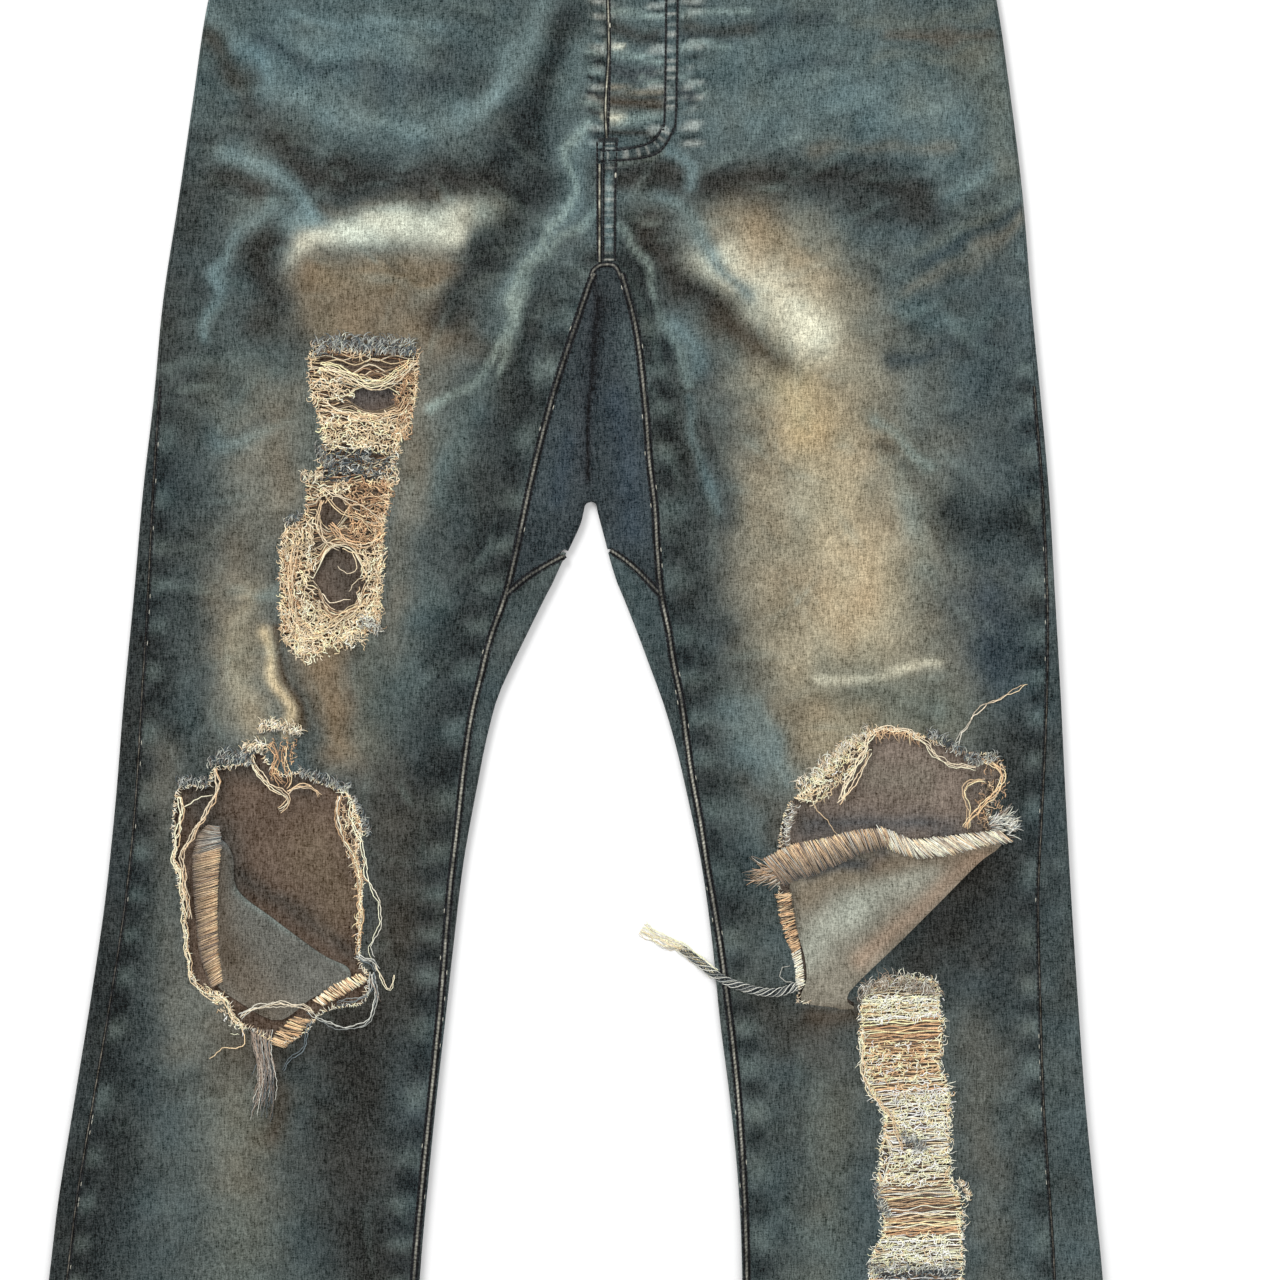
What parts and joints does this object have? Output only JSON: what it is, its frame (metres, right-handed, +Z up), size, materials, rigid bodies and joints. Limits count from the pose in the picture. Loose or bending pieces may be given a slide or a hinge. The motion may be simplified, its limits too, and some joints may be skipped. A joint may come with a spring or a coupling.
{
  "type": "ripped jeans laid flat",
  "caption": "Worn, ripped denim jeans laid flat on their back, with a diamond crotch gusset, torn knees, thigh and shin.",
  "frame": {"origin": "centre of the bounding box on the surface that the garment lies on", "axes": "+Y towards the waist, +X towards the wearer's left leg, +Z up out of the front face"},
  "size_m": [0.6866, 1.079, 0.0112],
  "materials": {
    "denim": "worn blue-grey cotton denim with cream and brown fades",
    "gusset_denim": "less worn dark blue denim",
    "thread": "bare cream weft threads and frayed ends",
    "brass": "aged brass"
  },
  "bodies": {
    "root": {"front_right": "denim", "front_left": "denim", "back_right": "denim", "back_left": "denim", "gusset": "gusset_denim", "waistband": "denim", "fly_underlap": "gusset_denim", "belt_loop_right": "denim", "belt_loop_left": "denim", "waist_button": "brass", "knee_flap_right": "denim", "knee_flap_left": "denim", "fringe_thigh": "thread", "fringe_knee_right": "thread", "fringe_knee_left": "thread", "fringe_shin": "thread"}
  },
  "joints": []
}
